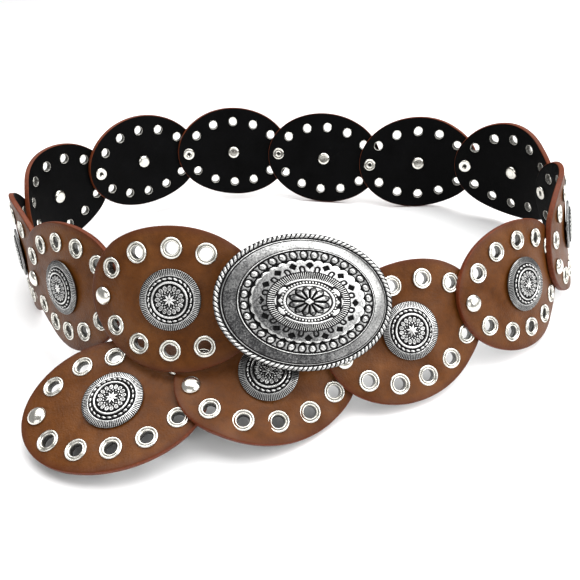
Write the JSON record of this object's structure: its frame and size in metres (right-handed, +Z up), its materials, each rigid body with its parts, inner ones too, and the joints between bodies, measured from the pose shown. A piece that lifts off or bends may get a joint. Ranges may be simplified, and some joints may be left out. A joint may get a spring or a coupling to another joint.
{
  "type": "concho belt",
  "caption": "Belt of overlapping oval leather plates with eyelets, rivets and round cast conchos, closed by an oval cast buckle, standing on its lower edge as an open loop with a free end.",
  "frame": {"origin": "bottom centre of the bounding box, on the surface that the belt stands on", "axes": "+X to the wearer's left as the belt stands with its buckle to the front, -Y out of the buckle, +Z up"},
  "size_m": [0.3418, 0.2856, 0.084],
  "materials": {
    "leather": "smooth waxed brown outside, black inside, brick-red edges",
    "antique_silver": "antiqued silver-coloured casting, blackened in its hollows",
    "nickel": "bright nickel plate"
  },
  "bodies": {
    "root": {"plate_01": "leather", "concho_01": "antique_silver", "rivet_01": "nickel", "plate_02": "leather", "concho_02": "antique_silver", "rivet_02": "nickel", "plate_03": "leather", "concho_03": "antique_silver", "rivet_03": "nickel", "plate_04": "leather", "concho_04": "antique_silver", "rivet_04": "nickel", "plate_05": "leather", "concho_05": "antique_silver", "rivet_05": "nickel", "plate_06": "leather", "concho_06": "antique_silver", "rivet_06": "nickel", "plate_07": "leather", "concho_07": "antique_silver", "rivet_07": "nickel", "plate_08": "leather", "concho_08": "antique_silver", "rivet_08": "nickel", "plate_09": "leather", "concho_09": "antique_silver", "rivet_09": "nickel", "plate_10": "leather", "concho_10": "antique_silver", "rivet_10": "nickel", "plate_11": "leather", "concho_11": "antique_silver", "rivet_11": "nickel", "plate_12": "leather", "concho_12": "antique_silver", "rivet_12": "nickel", "plate_13": "leather", "concho_13": "antique_silver", "rivet_13": "nickel", "plate_14": "leather", "concho_14": "antique_silver", "rivet_14": "nickel", "buckle": "antique_silver"}
  },
  "joints": []
}
